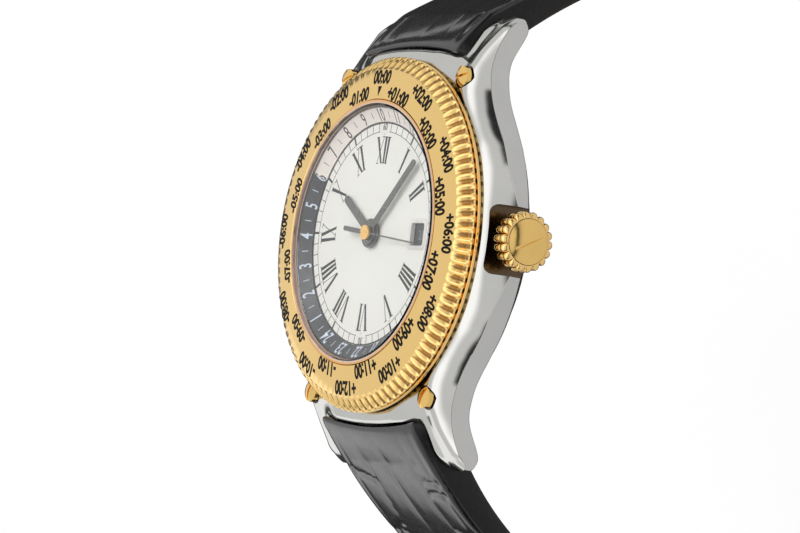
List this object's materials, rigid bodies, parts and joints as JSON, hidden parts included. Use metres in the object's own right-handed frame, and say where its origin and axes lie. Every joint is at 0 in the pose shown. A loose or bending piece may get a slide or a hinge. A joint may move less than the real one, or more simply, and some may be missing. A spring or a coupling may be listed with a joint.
{
  "type": "world time wristwatch",
  "caption": "Round wristwatch with a fluted turning bezel, a conical day and night ring, curved lugs, a lobed crown and a leather pin buckle strap.",
  "frame": {"origin": "centre of the case back's outer face", "axes": "+Z out of the dial, +X towards the crown at three o'clock, +Y towards twelve o'clock"},
  "size_m": [0.0411, 0.0779, 0.0839],
  "materials": {
    "case_steel": "polished",
    "gold": "polished",
    "crystal": "clear",
    "white_gasket": "matte",
    "black_gasket": "matte",
    "dial_paint": "satin",
    "ring_paint": "satin",
    "date_paint": "matte",
    "hand_metal": "satin",
    "spring_steel": "polished",
    "movement_brass": "satin",
    "plated_brass": "satin",
    "jewel": "polished",
    "strap_leather": "glossy grained"
  },
  "bodies": {
    "case": {"case_middle": "case_steel", "case_screws": "gold", "case_back": "case_steel", "case_back_gasket": "black_gasket", "bezel_click_spring": "spring_steel", "crystal": "crystal", "crystal_gasket": "white_gasket", "crystal_ring": "gold", "crown_tube": "case_steel", "dial": "dial_paint", "movement_ring": "plated_brass", "main_plate": "plated_brass", "barrel_bridge": "plated_brass", "train_bridge": "plated_brass", "balance_cock": "plated_brass", "hairspring": "spring_steel", "rotor_bearing": "spring_steel", "movement_screws": "spring_steel", "casing_clamps": "spring_steel", "jewels": "jewel", "spring_bar_12": "case_steel", "spring_bar_6": "case_steel"},
    "bezel": {"bezel": "gold"},
    "crown_seal": {"crown_gasket": "black_gasket"},
    "crown": {"crown": "gold", "crown_cap": "gold", "winding_stem": "spring_steel"},
    "sliding_pinion": {"sliding_pinion": "spring_steel"},
    "winding_pinion": {"winding_pinion": "spring_steel"},
    "crown_wheel": {"crown_wheel": "spring_steel"},
    "ratchet": {"ratchet_wheel": "spring_steel", "barrel_arbor": "spring_steel"},
    "setting_lever": {"setting_lever": "spring_steel"},
    "seconds": {"fourth_wheel": "movement_brass", "seconds_hand": "hand_metal"},
    "third": {"third_wheel": "movement_brass"},
    "minutes": {"centre_wheel": "movement_brass", "cannon_pinion": "movement_brass", "minute_hand": "hand_metal"},
    "escape": {"escape_wheel": "spring_steel"},
    "pallet": {"pallet_fork": "spring_steel"},
    "balance": {"balance_wheel": "movement_brass"},
    "barrel": {"barrel": "movement_brass", "barrel_cover": "movement_brass", "mainspring": "spring_steel"},
    "minute_wheel": {"minute_wheel": "movement_brass"},
    "hours": {"hour_wheel": "movement_brass", "hour_hand": "hand_metal"},
    "ring_drive": {"ring_drive_wheel": "movement_brass"},
    "day_ring": {"day_night_ring": "ring_paint"},
    "date": {"date_disc": "date_paint"},
    "rotor": {"rotor": "plated_brass"},
    "strap_12": {"strap_12": "strap_leather", "buckle_bar": "gold", "fixed_keeper": "strap_leather"},
    "strap_6": {"strap_6": "strap_leather"},
    "buckle_frame": {"buckle_frame": "gold"},
    "buckle_tongue": {"buckle_tongue": "gold"},
    "loose_keeper": {"loose_keeper": "strap_leather"}
  },
  "joints": [
    {"name": "bezel_turn", "type": "hinge", "parent": "case", "child": "bezel", "pos_m": [0, 0, 0.0084], "axis": [0, 0, 1], "continuous": true},
    {"name": "crown_pull", "type": "slide", "parent": "case", "child": "crown_seal", "axis": [1, 0, 0], "range_m": [0, 0.0012]},
    {"name": "crown_turn", "type": "hinge", "parent": "crown_seal", "child": "crown", "pos_m": [0.0192, 0, 0.0046], "axis": [1, 0, 0], "continuous": true},
    {"name": "clutch_slide", "type": "slide", "parent": "crown", "child": "sliding_pinion", "axis": [1, 0, 0], "range_m": [-0.0017, 0]},
    {"name": "winding_pinion_turn", "type": "hinge", "parent": "case", "child": "winding_pinion", "pos_m": [0.0094, 0, 0.0046], "axis": [1, 0, 0], "continuous": true},
    {"name": "crown_wheel_turn", "type": "hinge", "parent": "case", "child": "crown_wheel", "pos_m": [0.0074, 0, 0.0031], "axis": [0, 0, 1], "continuous": true},
    {"name": "ratchet_turn", "type": "hinge", "parent": "case", "child": "ratchet", "pos_m": [0.0021, 0.00578, 0.0031], "axis": [0, 0, 1], "continuous": true},
    {"name": "setting_lever_swing", "type": "hinge", "parent": "case", "child": "setting_lever", "pos_m": [0.01185, 0.0032, 0.00515], "axis": [0, 0, 1], "range_deg": [0, 27]},
    {"name": "seconds_turn", "type": "hinge", "parent": "case", "child": "seconds", "pos_m": [0, 0, 0.00427], "axis": [0, 0, 1], "continuous": true},
    {"name": "third_turn", "type": "hinge", "parent": "case", "child": "third", "pos_m": [-0.00338, -0.00123, 0.00462], "axis": [0, 0, 1], "continuous": true},
    {"name": "minutes_turn", "type": "hinge", "parent": "case", "child": "minutes", "pos_m": [0, 0, 0.00498], "axis": [0, 0, 1], "continuous": true},
    {"name": "escape_turn", "type": "hinge", "parent": "case", "child": "escape", "pos_m": [-0.00132, -0.00362, 0.0039], "axis": [0, 0, 1], "continuous": true},
    {"name": "pallet_rock", "type": "hinge", "parent": "case", "child": "pallet", "pos_m": [-0.00317, -0.00565, 0.0039], "axis": [0, 0, 1], "range_deg": [-7, 7]},
    {"name": "balance_swing", "type": "hinge", "parent": "case", "child": "balance", "pos_m": [-0.0046, -0.0072, 0.00345], "axis": [0, 0, 1], "range_deg": [-270, 270], "stiffness_Nm_per_rad": 0.00000034},
    {"name": "barrel_turn", "type": "hinge", "parent": "case", "child": "barrel", "pos_m": [0.0021, 0.00578, 0.0052], "axis": [0, 0, 1], "continuous": true},
    {"name": "minute_wheel_turn", "type": "hinge", "parent": "case", "child": "minute_wheel", "pos_m": [0.0035, -0.00606, 0.00718], "axis": [0, 0, 1], "continuous": true},
    {"name": "hours_turn", "type": "hinge", "parent": "case", "child": "hours", "pos_m": [0, 0, 0.0077], "axis": [0, 0, 1], "continuous": true},
    {"name": "ring_drive_turn", "type": "hinge", "parent": "case", "child": "ring_drive", "pos_m": [-0.00727, 0.0042, 0.0077], "axis": [0, 0, 1], "continuous": true},
    {"name": "day_ring_turn", "type": "hinge", "parent": "case", "child": "day_ring", "pos_m": [0, 0, 0.0076], "axis": [0, 0, 1], "continuous": true},
    {"name": "date_turn", "type": "hinge", "parent": "case", "child": "date", "pos_m": [0, 0, 0.0084], "axis": [0, 0, 1], "continuous": true},
    {"name": "rotor_turn", "type": "hinge", "parent": "case", "child": "rotor", "pos_m": [0, 0, 0.0014], "axis": [0, 0, 1], "continuous": true},
    {"name": "strap_12_hinge", "type": "hinge", "parent": "case", "child": "strap_12", "pos_m": [0, 0.0215, 0.0027], "axis": [1, 0, 0], "range_deg": [-15, 50]},
    {"name": "strap_6_hinge", "type": "hinge", "parent": "case", "child": "strap_6", "pos_m": [0, -0.0215, 0.0027], "axis": [1, 0, 0], "range_deg": [-34, 2]},
    {"name": "buckle_hinge", "type": "hinge", "parent": "strap_12", "child": "buckle_frame", "pos_m": [0, 0.01576, -0.05725], "axis": [1, 0, 0], "range_deg": [-80, 30]},
    {"name": "tongue_hinge", "type": "hinge", "parent": "buckle_frame", "child": "buckle_tongue", "pos_m": [0, 0.01576, -0.05725], "axis": [1, 0, 0], "range_deg": [0, 60]},
    {"name": "keeper_slide", "type": "hinge", "parent": "strap_12", "child": "loose_keeper", "pos_m": [0, -0.02599, -0.03715], "axis": [1, 0, 0], "range_deg": [-4.6, 4.6]}
  ],
  "couplings": [
    {"joint": "clutch_slide", "follows": "crown_pull", "ratio": -1.4167},
    {"joint": "setting_lever_swing", "follows": "crown_pull", "rad_per_m": 381.06},
    {"joint": "winding_pinion_turn", "follows": "crown_turn", "ratio": 1},
    {"joint": "crown_wheel_turn", "follows": "crown_turn", "ratio": 0.6},
    {"joint": "ratchet_turn", "follows": "crown_turn", "ratio": -0.36364},
    {"joint": "third_turn", "follows": "seconds_turn", "ratio": -0.13333},
    {"joint": "minutes_turn", "follows": "seconds_turn", "ratio": 0.016667},
    {"joint": "barrel_turn", "follows": "seconds_turn", "ratio": -0.0023148},
    {"joint": "escape_turn", "follows": "seconds_turn", "ratio": -10},
    {"joint": "minute_wheel_turn", "follows": "seconds_turn", "ratio": -0.0055556},
    {"joint": "hours_turn", "follows": "seconds_turn", "ratio": 0.0013889},
    {"joint": "ring_drive_turn", "follows": "seconds_turn", "ratio": -0.0027778},
    {"joint": "day_ring_turn", "follows": "seconds_turn", "ratio": -0.00069444}
  ]
}
